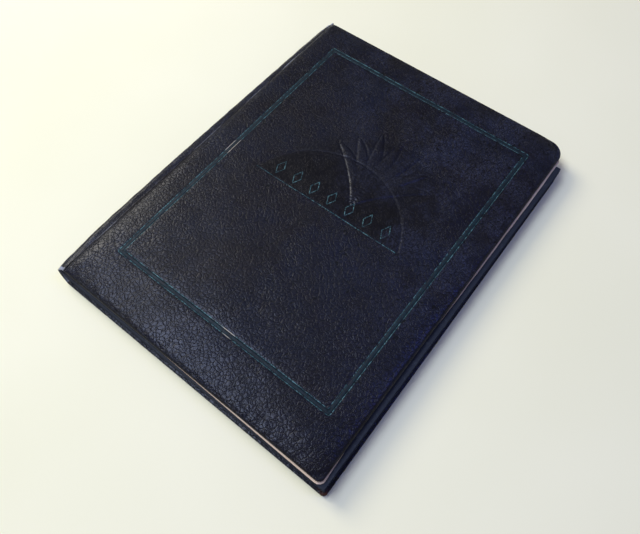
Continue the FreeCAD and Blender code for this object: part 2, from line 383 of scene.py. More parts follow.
class Plan:
    """A cover's outline: square at the spine, rounded at its two fore-edge corners.

    A place in it is (u, s): u from 0 at the spine to 1 at the fore-edge, s from 0 to 1 up the
    tail corner, to 2 at the start of the head corner and to 3 at the head."""

    def __init__(self, low, high, tail_r, head_r):
        self.x0, self.x1 = low.x, high.x
        self.y0, self.y1 = low.y, high.y
        self.tail_r, self.head_r = tail_r, head_r

    def at(self, u, s, inset=0.0, spine_inset=None):
        """X and Y of places, with the outline drawn in by the inset."""
        x0 = self.x0 + (inset if spine_inset is None else spine_inset)
        x1, y0, y1 = self.x1 - inset, self.y0 + inset, self.y1 - inset
        tail_r, head_r = (np.maximum(r - inset, 0.05 * MM) for r in (self.tail_r, self.head_r))
        tail = (np.clip(s, 0, 1) - 1) * math.pi / 2
        head = (np.clip(s, 2, 3) - 2) * math.pi / 2
        side = (y1 - head_r - y0 - tail_r) * (np.clip(s, 1, 2) - 1)
        y = y0 + tail_r * (1 + np.sin(tail)) + side + head_r * np.sin(head)
        right = x1 - tail_r * (1 - np.cos(tail)) - head_r * (1 - np.cos(head))
        return x0 + u * (right - x0), y

    def rows(self, step, marks=()):
        """Values of s, whose rows are about a step apart."""
        tail_y, head_y = self.y0 + self.tail_r, self.y1 - self.head_r
        tail_turn = np.linspace(0, 1, max(4, round(self.tail_r / step)) + 1)[:-1]
        head_turn = np.linspace(2, 3, max(6, round(1.2 * self.head_r / step)) + 1)[1:]
        middle = grid_lines(tail_y, head_y, step, marks)
        return np.concatenate([tail_turn, 1 + (middle - tail_y) / (head_y - tail_y), head_turn])

    def columns(self, step, marks=()):
        """Values of u, whose columns are about a step apart."""
        return (grid_lines(self.x0, self.x1, step, marks) - self.x0) / (self.x1 - self.x0)

    def crown(self, x, y, spine_shoulder=0.5):
        """Height of a pad over a place, from 0 at the outline to 1 on its flat."""
        fore = np.clip(1 - (self.x1 - x) / SHOULDER, 0, 1)
        spine = np.clip(1 - (x - self.x0) / (SHOULDER * spine_shoulder), 0, 1)
        tail = np.clip(1 - (y - self.y0) / (SHOULDER * 1.25), 0, 1)
        head = np.clip(1 - (self.y1 - y) / SHOULDER, 0, 1)
        across, along = np.maximum(fore, spine), np.maximum(tail, head)
        near_head = y > (self.y0 + self.y1) / 2
        squareness = np.where(spine > 0, 6.0, np.where(near_head, 2.0, 4.0))
        fall = (across ** squareness + along ** squareness) ** (1 / squareness)
        return np.sqrt(1 - np.clip(fall, 0, 1) ** 2)


def rim_places(columns, rows):
    """Places round a grid's outline, anticlockwise from the tail of the spine."""
    tail = [(u, 0.0) for u in columns[:-1]]
    fore = [(1.0, s) for s in rows[:-1]]
    head = [(u, 3.0) for u in columns[:0:-1]]
    spine = [(0.0, s) for s in rows[:0:-1]]
    return np.array(tail + fore + head + spine)


def rim_indices(columns, rows):
    """Vertices round a grid's outline, in the order of rim_places."""
    across, along = len(columns), len(rows)
    tail = [n for n in range(across - 1)]
    fore = [r * across + across - 1 for r in range(along - 1)]
    head = [(along - 1) * across + n for n in range(across - 1, 0, -1)]
    spine = [r * across for r in range(along - 1, 0, -1)]
    return tail + fore + head + spine


class Skin:
    """Vertices and faces of a cover's surface: a grid, and rings that go on from its outline."""

    def __init__(self, plan, columns, rows, inset, height, spine_inset=None):
        self.plan, self.columns, self.rows = plan, columns, rows
        u, s = np.meshgrid(columns, rows)
        x, y = plan.at(u.ravel(), s.ravel(), inset, spine_inset)
        self.verts = [np.column_stack([x, y, height(x, y, u.ravel(), s.ravel())])]
        across = len(columns)
        self.faces = [
            (r * across + c, r * across + c + 1, (r + 1) * across + c + 1, (r + 1) * across + c)
            for r in range(len(rows) - 1) for c in range(across - 1)]
        self.edge = rim_indices(columns, rows)
        self.places = rim_places(columns, rows)
        self.total = len(x)

    def ring(self, inset, height, spine_inset=None):
        """Another ring of vertices, joined to the last."""
        x, y = self.plan.at(self.places[:, 0], self.places[:, 1], inset, spine_inset)
        self.verts.append(np.column_stack([x, y, np.full(len(x), height)]))
        new = list(range(self.total, self.total + len(x)))
        self.total += len(x)
        count = len(new)
        self.faces += [
            (self.edge[n], new[n], new[(n + 1) % count], self.edge[(n + 1) % count])
            for n in range(count)]
        self.edge = new

    def rim_share(self):
        """How far round the outline each vertex of the last ring is, from 0 to 4."""
        count_u, count_s = len(self.columns) - 1, len(self.rows) - 1
        u, s = self.places[:, 0], self.places[:, 1] / 3
        return np.concatenate([u[:count_u], 1 + s[count_u:count_u + count_s],
                               2 + 1 - u[count_u + count_s:2 * count_u + count_s],
                               3 + 1 - s[2 * count_u + count_s:]])


def joined_shell(outer, inner):
    """One closed shell of an outer skin and a coarser inner one that faces the other way."""
    verts = np.vstack(outer.verts + inner.verts)
    faces = outer.faces + [tuple(n + outer.total for n in face[::-1]) for face in inner.faces]
    far, near = outer.edge, [n + outer.total for n in inner.edge]
    far_at, near_at = outer.rim_share(), inner.rim_share()
    i = j = 0
    while i < len(far) or j < len(near):
        next_far = far_at[i + 1] if i + 1 < len(far) else 4.0 if i < len(far) else 9.0
        next_near = near_at[j + 1] if j + 1 < len(near) else 4.0 if j < len(near) else 9.0
        a, b = far[i % len(far)], near[j % len(near)]
        if next_far <= next_near:
            faces.append((a, b, far[(i + 1) % len(far)]))
            i += 1
        else:
            faces.append((a, b, near[(j + 1) % len(near)]))
            j += 1
    return verts, faces


class Cover:
    """One padded cover: its plan, and heights measured outwards from its inner face."""

    def __init__(self, plan, up, rise, swell_cap):
        self.plan, self.up, self.rise, self.swell_cap = plan, up, rise, swell_cap
        self.inner_z = (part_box("front_lining")[0].z if up > 0 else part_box("back_lining")[1].z)
        self.board_top = LINING + TURN_IN + BOARD
        self.swell = None

    def z(self, height):
        return self.inner_z + self.up * height

    def pad_height(self, x, y, u, s):
        """Top of the wadding, with what the simulation swelled it by."""
        height = self.board_top + self.rise * self.plan.crown(x, y)
        if self.swell is not None:
            coarse_u, coarse_s, field = self.swell
            across, across_at = np.unique(u, return_inverse=True)
            along, along_at = np.unique(s, return_inverse=True)
            soft = spread(along, coarse_s) @ field @ spread(across, coarse_u).T
            height = height + soft[along_at, across_at]
        return height


def spread(to, points):
    """Weights that carry values at some points smoothly to others."""
    width = np.interp(to, points, np.gradient(points))
    weights = np.exp(-((to[:, None] - points) / width[:, None]) ** 2)
    return weights / weights.sum(1, keepdims=True)


def closed_slab(plan, columns, rows, inset, top, under, spine_inset=None):
    """A plate of two grids, joined round its outline."""
    upper = Skin(plan, columns, rows, inset, top, spine_inset)
    lower = Skin(plan, columns, rows, inset, under, spine_inset)
    shift, count = upper.total, len(upper.edge)
    faces = upper.faces + [tuple(n + shift for n in face[::-1]) for face in upper.faces]
    edge = upper.edge
    faces += [(edge[n], edge[n] + shift, edge[(n + 1) % count] + shift, edge[(n + 1) % count])
              for n in range(count)]
    return np.vstack(upper.verts + lower.verts), faces


def pad_skin(cover):
    """The wadding: a coarse closed pad on its board."""
    columns, rows = cover.plan.columns(5 * MM), cover.plan.rows(5 * MM)
    verts, faces = closed_slab(
        cover.plan, columns, rows, LEATHER + 0.3 * MM, cover.pad_height,
        lambda x, y, u, s: np.full_like(x, cover.board_top + 0.02 * MM))
    return verts, faces, columns, rows


def oriented(cover, verts, faces):
    """Verts and faces of a cover's own heights, put in place and facing outwards."""
    placed = np.array(verts)
    placed[:, 2] = cover.z(placed[:, 2])
    if cover.up < 0:
        faces = [face[::-1] for face in faces]
    return placed, faces


PAD_PRESSURE = 4.0
PAD_FRAMES = 20


def swell_pad(name, cover):
    """Cloth simulation of the wadding, held at its board and rim and blown out from inside."""
    verts, faces, columns, rows = pad_skin(cover)
    placed, turned = oriented(cover, verts, faces)
    blank = smooth_object(name, placed, turned, wadding)
    count = len(columns) * len(rows)
    held = blank.vertex_groups.new(name="held")
    held.add(list(range(count, len(verts))) + rim_indices(columns, rows), 1.0, "REPLACE")
    cloth = blank.modifiers.new("swell", "CLOTH")
    settings = cloth.settings
    settings.quality = 5
    settings.mass = 0.3
    settings.tension_stiffness = settings.compression_stiffness = 15
    settings.bending_stiffness = 0.5
    settings.vertex_group_mass = "held"
    settings.use_pressure = True
    settings.uniform_pressure_force = PAD_PRESSURE
    settings.effector_weights.gravity = 0
    cloth.collision_settings.use_collision = False
    cloth.point_cache.frame_start, cloth.point_cache.frame_end = 1, PAD_FRAMES
    scene = bpy.context.scene
    for number in range(1, PAD_FRAMES + 1):
        scene.frame_set(number)
    result = blank.evaluated_get(bpy.context.evaluated_depsgraph_get())
    co = np.zeros(len(verts) * 3)
    result.data.vertices.foreach_get("co", co)
    moved = (co.reshape(-1, 3)[:count, 2] - placed[:count, 2]) * cover.up
    scene.frame_set(1)
    bpy.data.objects.remove(blank)
    rise = np.clip(moved, -cover.swell_cap, 4 * cover.swell_cap)
    field = rise * cover.swell_cap / max(np.abs(rise).max(), 1e-9)
    cover.swell = (columns, rows, field.reshape(len(rows), len(columns)))


def make_pad(name, cover, body, node):
    swell_pad(name + "_blank", cover)
    verts, faces, _, _ = pad_skin(cover)
    pad = smooth_object(name, *oriented(cover, verts, faces), wadding)
    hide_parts(node)
    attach(pad, body)


def leather_shell(name, cover, columns, rows, top, body, node, material):
    """The cover's leather: over the pad, down over the board's edge and turned in under it."""
    plan = cover.plan
    outer = Skin(plan, columns, rows, RIM_ROUND, top)
    edge_top = cover.board_top + LEATHER
    for turn in (30, 60, 90):
        drop = RIM_ROUND * (1 - math.cos(math.radians(turn)))
        outer.ring(RIM_ROUND * (1 - math.sin(math.radians(turn))), edge_top - drop)
    outer.ring(0.0, LINING + 0.35 * MM)
    outer.ring(0.1 * MM, LINING + 0.1 * MM)
    outer.ring(0.4 * MM, LINING)
    outer.ring(TURN_IN_WIDTH, LINING)

    inside = 0.05 * MM
    inner_columns, inner_rows = plan.columns(9 * MM), plan.rows(9 * MM)
    inner = Skin(plan, inner_columns, inner_rows, LEATHER + 0.35 * MM,
                 lambda x, y, u, s: cover.pad_height(x, y, u, s) + inside)
    inner.ring(LEATHER - inside, cover.board_top - inside)
    inner.ring(LEATHER - inside, LINING + TURN_IN - 0.02 * MM)
    inner.ring(TURN_IN_WIDTH, LINING + TURN_IN - 0.02 * MM)
    verts, faces = joined_shell(outer, inner)
    shell = smooth_object(name, *oriented(cover, verts, faces), material)
    add_attribute(shell, "rim", rim_wear(cover, verts))
    if cover is front:
        x, y = verts[:, 0], verts[:, 1]
        add_attribute(shell, "calm", calm_leather(x, y))
        add_attribute(shell, "bloomed", ease((x + y + 60 * MM) / (220 * MM)))
    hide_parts(node)
    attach(shell, body)
    return shell


def rim_wear(cover, verts):
    """Rubbing, from 0 to 1: strongest low on the rim, and at the tail's fore corner."""
    plan = cover.plan
    x, y, height = verts[:, 0], verts[:, 1], verts[:, 2]
    low = ease((cover.board_top + LEATHER - 0.2 * MM - height) / (2.0 * MM))
    if cover is back:
        low *= 0.42
    else:
        low *= np.where(x > plan.x1 - 3 * MM, 0.7 + 0.3 * ease((y + 30 * MM) / (60 * MM)), 0.6)
    to_corner = np.hypot(x - plan.x1, y - plan.y0)
    tail_corner = 0.55 * ease(1 - to_corner / (14 * MM))
    past_crown = ease(1 - plan.crown(x, y) * 4)
    return np.clip(0.9 * low + tail_corner * past_crown, 0, 1)


# ------------------------------------------------------------------ tooling on the front cover

FAN_LEAVES = 7
FAN_SPREAD = math.radians(66)
FAN_REACH = 70.0 * MM
FAN_HALF_WIDTH = 4.2 * MM
FAN_FOOT = Vector((14.0 * MM, 12.0 * MM))   # from the middle of the rule
ARCH_RISE = 47.0 * MM


def on_title(x, y):
    """Places on the cover, measured along and up from the middle of the rule."""
    dx, dy = x - rule_middle.x, y - rule_middle.y
    c, s = math.cos(RULE_TURN), math.sin(RULE_TURN)
    return dx * c + dy * s, dy * c - dx * s


def fan_leaf(number):
    """Midrib of one pressed leaf, as points, and the leaf's half width at each."""
    lean = (2 * number / (FAN_LEAVES - 1) - 1) * FAN_SPREAD
    reach = FAN_REACH * (1 - 0.16 * abs(lean / FAN_SPREAD) ** 2 - 0.05 * (number % 2))
    t = np.linspace(0, 1, 26)
    turn = lean * (0.35 + 0.75 * t ** 1.4)
    step = reach / (len(t) - 1)
    x = FAN_FOOT.x + np.cumsum(np.sin(turn)) * step
    y = FAN_FOOT.y + np.cumsum(np.cos(turn)) * step
    width = FAN_HALF_WIDTH * np.sin(np.pi * np.clip(0.06 + 0.94 * t, 0, 1) ** 1.35) ** 0.8
    return x, y, np.maximum(width, 0.25 * MM)


def fan_relief(x, y):
    """Raised fan of curved leaves: each has a pressed outline, a crowned face and a midrib."""
    along, up = on_title(x, y)
    relief = np.zeros_like(x)
    near = (np.abs(along - FAN_FOOT.x) < 1.15 * FAN_REACH) & (up > 0) & (up < 1.3 * FAN_REACH)
    px, py = along[near], up[near]
    raised, pressed = np.zeros_like(px), np.zeros_like(px)
    for number in range(FAN_LEAVES):
        lx, ly, width = fan_leaf(number)
        distance = np.hypot(px[:, None] - lx, py[:, None] - ly)
        nearest = distance.argmin(1)
        away = distance[np.arange(len(px)), nearest]
        half = width[nearest]
        face = np.clip(1 - (away / half) ** 2, 0, 1)
        rib = np.exp(-(away / (0.5 * MM)) ** 2) * (half > 1.2 * MM)
        raised = np.maximum(raised, 0.38 * MM * np.sqrt(face) + 0.16 * MM * rib)
        pressed = np.maximum(pressed, np.exp(-((away - half - 0.35 * MM) / (0.55 * MM)) ** 2))
    relief[near] = np.where(raised > 0, raised, 0) - 0.4 * MM * pressed * (raised < 0.05 * MM)
    return relief


def arch_relief(x, y):
    """Arch of flatter leather over the rule, with a pressed outline."""
    along, up = on_title(x, y)
    half = rule_length / 2
    radius = (half ** 2 + ARCH_RISE ** 2) / (2 * ARCH_RISE)
    outside = np.hypot(along, up - (ARCH_RISE - radius)) - radius
    line = np.exp(-(outside / (0.6 * MM)) ** 2) * (up > 0)
    sunk = ease(-outside / (1.2 * MM)) * ease(up / (1.0 * MM))
    return -0.45 * MM * line - 0.15 * MM * sunk


def calm_leather(x, y):
    """Where the leather is pressed smooth, from 0 to 1: inside the arch, and under the fan."""
    along, up = on_title(x, y)
    half = rule_length / 2
    radius = (half ** 2 + ARCH_RISE ** 2) / (2 * ARCH_RISE)
    arch = ease((radius - np.hypot(along, up - (ARCH_RISE - radius))) / (2 * MM))
    fan = ease((FAN_REACH - np.hypot(along - FAN_FOOT.x, up - FAN_FOOT.y)) / (14 * MM))
    return np.maximum(arch, 0.7 * fan) * ease(up / (2 * MM))


def border_depth(x, y):
    """Depth of the border's groove at a place."""
    low, high = border_low, border_high
    corner = BORDER_CORNER_R
    middle_x, middle_y = (low.x + high.x) / 2, (low.y + high.y) / 2
    dx = np.abs(x - middle_x) - (high.x - low.x) / 2 + corner
    dy = np.abs(y - middle_y) - (high.y - low.y) / 2 + corner
    outside = np.hypot(np.maximum(dx, 0), np.maximum(dy, 0)) + np.minimum(np.maximum(dx, dy), 0)
    inside = corner - outside
    width = BAND_WIDTH + 2 * LINE_WIDTH
    return GROOVE_DEPTH * ease(inside / (0.5 * MM) + 0.5) * ease((width - inside) / (0.5 * MM) + 0.5)


def front_top(x, y, u, s):
    """Height of the front cover's leather above the cover's inner face."""
    height = front.pad_height(x, y, u, s) + LEATHER
    crown = front.plan.crown(x, y)
    worn = 0.10 * MM * ripple(x, y, 46 * MM, 3) + 0.05 * MM * ripple(x, y, 13 * MM, 8)
    puckers = 0.10 * MM * ripple(x, y, 5.5 * MM, 21) * ease(1 - np.abs(crown - 0.55) / 0.45)
    tooling = fan_relief(x, y) + arch_relief(x, y) - border_depth(x, y)
    return height + crown * worn + puckers + tooling * ease(crown * 1.5)


def back_top(x, y, u, s):
    """Height of the back cover's leather above the cover's inner face."""
    crown = back.plan.crown(x, y)
    worn = -0.05 * MM * (1 + ripple(x, y, 50 * MM, 5)) * crown
    return back.pad_height(x, y, u, s) + LEATHER + worn


front = Cover(Plan(front_low, front_high, FRONT_TAIL_R, FRONT_HEAD_R), 1, 2.6 * MM, 0.55 * MM)
back = Cover(Plan(back_low, back_high, BACK_TAIL_R, BACK_HEAD_R), -1, 0.75 * MM, 0.2 * MM)


def build_covers():
    edges = [0, LINE_WIDTH, LINE_WIDTH + BAND_WIDTH, 2 * LINE_WIDTH + BAND_WIDTH]
    marks_x = [border_low.x + e for e in edges] + [border_high.x - e for e in edges]
    marks_y = [border_low.y + e for e in edges] + [border_high.y - e for e in edges]
    foot_x = rule_middle.x + FAN_FOOT.x
    foot_y = rule_middle.y + FAN_FOOT.y
    plan = front.plan
    fine = 0.72 * MM
    fan_x = (foot_x - FAN_REACH * 0.92, foot_x + FAN_REACH * 0.92)
    fan_y = (rule_middle.y, foot_y + FAN_REACH)
    coarse = plan.columns(1.45 * MM, marks_x)
    columns = merged(coarse, (grid_lines(*fan_x, fine) - plan.x0) / (plan.x1 - plan.x0))
    tail_y, head_y = plan.y0 + plan.tail_r, plan.y1 - plan.head_r
    rows = merged(plan.rows(1.45 * MM, marks_y),
                  1 + (grid_lines(*fan_y, fine) - tail_y) / (head_y - tail_y))

    make_pad("front_wadding_pad", front, "front_cover", "front_wadding")
    make_pad("back_wadding_pad", back, "back_cover", "back_wadding")
    leather_shell("front_cover_leather", front, columns, rows, front_top,
                  "front_cover", "front_leather", leather)
    leather_shell("back_cover_leather", back, back.plan.columns(3 * MM), back.plan.rows(3 * MM),
                  back_top, "back_cover", "back_leather", leather)


def merged(coarse, fine):
    """Fine values where there are some, and the coarse ones elsewhere."""
    kept = [c for c in coarse if c < fine[0] - 1e-4 or c > fine[-1] + 1e-4]
    return np.array(sorted([*kept, *fine]))


build_covers()


# ------------------------------------------------------------------ lining cards

def claim(piece, slot, body, *nodes):
    """Gives a finished piece its body, in place of the CAD nodes it stands for. Its slot is not
    used.
    """
    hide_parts(*nodes)
    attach(piece, body)


def lining_card(name, cover, overhang, material):
    """Card glued inside a cover, pressed down within the turned-in leather's window."""
    plan = cover.plan
    columns, rows = plan.columns(6 * MM), plan.rows(4 * MM)
    u, s = (grid.ravel() for grid in np.meshgrid(columns, rows))

    def pressed(x, y):
        into = np.minimum.reduce([x - plan.x0, plan.x1 - x, y - plan.y0, plan.y1 - y])
        wave = 0.03 * MM * ripple(x, y, 60 * MM, 4)
        return (TURN_IN - 0.05 * MM) * ease((into - TURN_IN_WIDTH) / (1.2 * MM)) + wave

    verts, faces = closed_slab(
        plan, columns, rows, -overhang(u, s),
        lambda x, y, u, s: LINING - 0.06 * MM + pressed(x, y),
        lambda x, y, u, s: 0.04 * MM + pressed(x, y), 0.3 * MM)
    card_piece = smooth_object(name, *oriented(cover, verts, faces), material, smooth=False)
    body = "front_cover" if cover is front else "back_cover"
    claim(card_piece, "lining_card", body, name.replace("_card", ""))


def front_overhang(u, s):
    """How far the front lining shows past the leather: at the tail, and up the fore-edge."""
    along = np.interp(s, [0, 0.6, 1, 1.1, 1.36, 1.5, 1.9, 2.0, 2.15, 3],
                      [1.2, 1.5, 1.1, -0.7, -0.7, 0.5, 1.4, 1.0, -0.3, -0.5]) * MM
    ragged = 0.12 * MM * np.sin(s * 23) * np.sin(s * 57 + 1)
    tail = np.interp(u, [0, 0.3, 0.5, 0.8, 1], [-0.6, -0.4, 0.15, 0.8, 1.2]) * MM
    return np.where(s < 1, tail, (along + ragged) * u ** 8)


lining_card("front_lining_card", front, front_overhang, cream_card)
lining_card("back_lining_card", back, lambda u, s: np.full_like(s, -2.3 * MM), stained_card)


# ------------------------------------------------------------------ spine

def spine_half(name, body, node, edge_z):
    """Half of the rounded spine leather, from the fold line to a cover's crease."""
    low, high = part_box(node)
    fold_z = low.z if edge_z > HINGE.z else high.z
    bulge, climb = high.x - low.x, abs(edge_z - HINGE.z)
    radius = (climb ** 2 + bulge ** 2) / (2 * bulge)
    up = 1 if edge_z > HINGE.z else -1
    start = math.asin(abs(fold_z - HINGE.z) / radius)
    end = math.acos((radius - bulge) / radius)
    turns = np.linspace(start, end, 15)
    along = grid_lines(low.y, high.y + 1.3 * MM, 1.6 * MM)
    y, turn = (grid.ravel() for grid in np.meshgrid(along, turns, indexing="ij"))
    share = (turn - start) / (end - start)
    length = high.y - low.y
    t = (y - low.y) / length
    to_crease = share if up > 0 else -share
    tail_end = (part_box("front_leather")[0].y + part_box("back_leather")[0].y) / 2
    shift = to_crease * (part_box("front_leather")[0].y - tail_end) + tail_end - low.y
    y = y + shift * np.clip(1 - t * 4, 0, 1)
    swell = np.interp(t, [0, 0.03, 0.12, 0.35, 0.6, 0.85, 0.97, 1],
                      [-0.3, 0.7, 2.1, 2.1, 1.2, 0.0, -0.8, -2.0]) * MM
    skin = swell * np.sin(np.pi * share) ** 2 + np.minimum(swell, 0) * 0.3
    rough = 0.10 * MM * ripple(y, turn * radius * 2, 14 * MM, 31)
    rough = rough + 0.05 * MM * ripple(y, turn * radius, 3.5 * MM, 33)
    verts = []
    for depth, wear in ((0.0, 1.0), (LEATHER, 0.0)):
        r = radius - depth + (skin + rough * np.sin(np.pi * share) * wear)
        x = np.maximum(low.x + radius - r * np.cos(turn), HINGE.x + SPINE_GAP + depth)
        verts.append(np.column_stack([x, y, HINGE.z + up * r * np.sin(turn)]))
    across, count = len(turns), len(y)

    def quad(a, b, c, d):
        return (a, b, c, d) if up > 0 else (d, c, b, a)

    faces = []
    for row in range(len(along) - 1):
        for n in range(across - 1):
            at = row * across + n
            faces.append(quad(at + 1, at, at + across, at + across + 1)[::-1])
            faces.append(quad(at + 1, at, at + across, at + across + 1))
            faces[-1] = tuple(i + count for i in faces[-1])
        for side in (row * across, row * across + across - 1):
            strip = (side, side + across, side + across + count, side + count)
            faces.append(quad(*strip) if side % across else quad(*strip)[::-1])
    for first in (0, count - across):
        for n in range(first, first + across - 1):
            strip = (n, n + 1, n + 1 + count, n + count)
            faces.append(quad(*strip)[::-1] if first else quad(*strip))
    piece = smooth_object(name, np.vstack(verts), faces, spine_leather)
    # painted highlight: a grey line along the crease of the front half, carried by the `rim`
    # attribute; the grey at both ends is rubbed wear
    crease = ease((share - 0.86) / 0.1) * (0.75 + 0.25 * ripple(y, turn, 30 * MM, 12))
    ends = np.maximum(ease(1 - (y - low.y) / (6 * MM)), ease(1 - (high.y - y) / (9 * MM)))
    wear = np.clip(np.maximum(crease if up > 0 else 0 * share, ends), 0, 1)
    add_attribute(piece, "rim", np.tile(wear, 2))
    add_attribute(piece, "calm", np.full(2 * count, 0.45))
    add_attribute(piece, "bloomed", np.full(2 * count, 0.8))
    claim(piece, "leather", body, node)


spine_half("front_spine_leather", "front_cover", "spine_leather_front",
           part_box("spine_leather_front")[1].z)
spine_half("back_spine_leather", "back_cover", "spine_leather_back",
           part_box("spine_leather_back")[0].z)


# ------------------------------------------------------------------ pieces grown from nodes

class Recipe(Graph):
    """A Geometry Nodes tree with named inputs."""

    def __init__(self, name, **wanted):
        self.tree = bpy.data.node_groups.new(name, "GeometryNodeTree")
        self.tree.interface.new_socket("Geometry", in_out="OUTPUT",
                                       socket_type="NodeSocketGeometry")
        self.keys = {}
        for key, kind in wanted.items():
            made = self.tree.interface.new_socket(key.replace("_", " "), in_out="INPUT",
                                                  socket_type="NodeSocket" + kind)
            self.keys[key] = made.identifier
        self.inputs = self.tree.nodes.new("NodeGroupInput").outputs

    def given(self, key):
        return self.inputs[key.replace("_", " ")]

    def finish(self, geometry):
        """Ends the tree by realizing its instances and setting their material."""
        solid = self.node("GeometryNodeRealizeInstances", Geometry=geometry)
        painted = self.node("GeometryNodeSetMaterial", Geometry=solid.outputs[0],
                            Material=self.given("Finish"))
        last = self.tree.nodes.new("NodeGroupOutput")
        self.tree.links.new(painted.outputs[0], last.inputs[0])

    def combine(self, x, y, z):
        return self.node("ShaderNodeCombineXYZ", X=x, Y=y, Z=z).outputs[0]

    def grow(self, name, **values):
        """One plain mesh object of this recipe."""
        host = smooth_object(name + "_host", [], [], values["Finish"])
        grown = host.modifiers.new("grow", "NODES")
        grown.node_group = self.tree
        for key, value in values.items():
            grown[self.keys[key]] = value
        bpy.context.view_layer.update()
        graph = bpy.context.evaluated_depsgraph_get()
        mesh = bpy.data.meshes.new_from_object(host.evaluated_get(graph), depsgraph=graph)
        host.modifiers.remove(grown)
        bpy.data.objects.remove(host)
        mesh.name = name
        piece = bpy.data.objects.new(name, mesh)
        bpy.context.scene.collection.objects.link(piece)
        return piece


def leaf_recipe():
    """A card leaf: a slab whose faces wave together, with a slightly uneven outline."""
    r = Recipe("wavy_leaf", Width="Float", Length="Float", Thickness="Float", Middle="Vector",
               Waviness="Float", Skew="Float", Raggedness="Float", Seed="Float",
               Finish="Material")
    size = r.combine(r.given("Width"), r.given("Length"), r.given("Thickness"))
    slab = r.node("GeometryNodeMeshCube", Size=size, Vertices_X=46, Vertices_Y=58,
                  Vertices_Z=2)
    at = r.node("ShaderNodeSeparateXYZ", Vector=r.node("GeometryNodeInputPosition").outputs[0])
    x, y = at.outputs[0], at.outputs[1]
    flat = r.combine(x, y, r.given("Seed"))
    wave = r.node("ShaderNodeTexNoise", Vector=flat, Scale=16.0, Detail=1.0)
    lift = r.math("MULTIPLY", r.math("SUBTRACT", wave.outputs["Fac"], 0.5), r.given("Waviness"))
    nick = r.node("ShaderNodeTexNoise", Vector=flat, Scale=120.0, Detail=2.0)
    nicked = r.math("MULTIPLY", r.math("SUBTRACT", nick.outputs["Fac"], 0.5),
                    r.given("Raggedness"))
    from_guard = r.math("ADD", r.math("DIVIDE", x, r.given("Width")), 0.5)
    up = r.math("DIVIDE", y, r.given("Length"))
    slant = r.math("MULTIPLY", r.math("MULTIPLY", up, r.given("Skew")), from_guard)
    shift = r.combine(r.math("ADD", slant, r.math("MULTIPLY", nicked, from_guard)), nicked, lift)
    moved = r.node("GeometryNodeSetPosition", Geometry=slab.outputs["Mesh"],
                   Offset=r.vector("ADD", shift, r.given("Middle")))
    r.finish(moved.outputs[0])
    return r


def build_leaves():
    recipe = leaf_recipe()
    for number, name in enumerate(LEAF_NAMES):
        low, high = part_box(name)
        shy = 0.5 * MM * math.sin(number * 2.4)
        middle = (low + high) / 2 + Vector((shy / 2, 0.25 * MM * math.sin(number * 1.7), 0))
        leaf = recipe.grow(
            name + "_card", Width=high.x - low.x + shy, Length=high.y - low.y,
            Thickness=high.z - low.z, Middle=middle, Waviness=0.26 * MM, Skew=1.5 * MM,
            Raggedness=0.35 * MM, Seed=0.31 * number, Finish=black_card)
        claim(leaf, "leaf_card", name, name)


def follow(r, strip):
    """Lays a flat strip of foil on the leather below it."""
    at = r.node("GeometryNodeInputPosition").outputs[0]
    over = r.node("GeometryNodeObjectInfo", Object=r.given("Leather"))
    high = r.vector("ADD", at, (0.0, 0.0, 30 * MM))
    hit = r.node("GeometryNodeRaycast", Target_Geometry=over.outputs["Geometry"],
                 Source_Position=high, Ray_Direction=(0.0, 0.0, -1.0), Ray_Length=0.1)
    rise = r.vector("MULTIPLY", at, (0.0, 0.0, 1.0))
    return r.node("GeometryNodeSetPosition", Geometry=strip,
                  Position=r.vector("ADD", hit.outputs["Hit Position"], rise)).outputs[0]


def swept(r, path, width):
    """Closed flat strip of foil along a path, thick enough to lie in its groove."""
    section = r.node("GeometryNodeCurvePrimitiveQuadrilateral", Width=width, Height=2 * FOIL)
    cut = r.node("GeometryNodeSubdivideCurve", Curve=section.outputs[0], Cuts=2)
    level = r.node("GeometryNodeSetCurveNormal", {"mode": "Z_UP"}, Curve=path)
    strip = r.node("GeometryNodeCurveToMesh", Curve=level.outputs[0],
                   Profile_Curve=cut.outputs[0], Fill_Caps=True)
    return strip.outputs[0]


def border_recipe():
    """One line of the border: a rounded frame of foil laid on the leather."""
    r = Recipe("foil_frame", Width="Float", Length="Float", Corner="Float", Middle="Vector",
               Line="Float", Leather="Object", Finish="Material")
    frame_path = r.node("GeometryNodeCurvePrimitiveQuadrilateral", Width=r.given("Width"),
                        Height=r.given("Length"))
    rounded = r.node("GeometryNodeFilletCurve", {"mode": "POLY"}, Curve=frame_path.outputs[0],
                     Count=6, Radius=r.given("Corner"))
    closer = r.node("GeometryNodeSubdivideCurve", Curve=rounded.outputs[0], Cuts=50)
    placed = r.node("GeometryNodeTransform", Geometry=swept(r, closer.outputs[0], r.given("Line")),
                    Translation=r.given("Middle"))
    r.finish(follow(r, placed.outputs[0]))
    return r


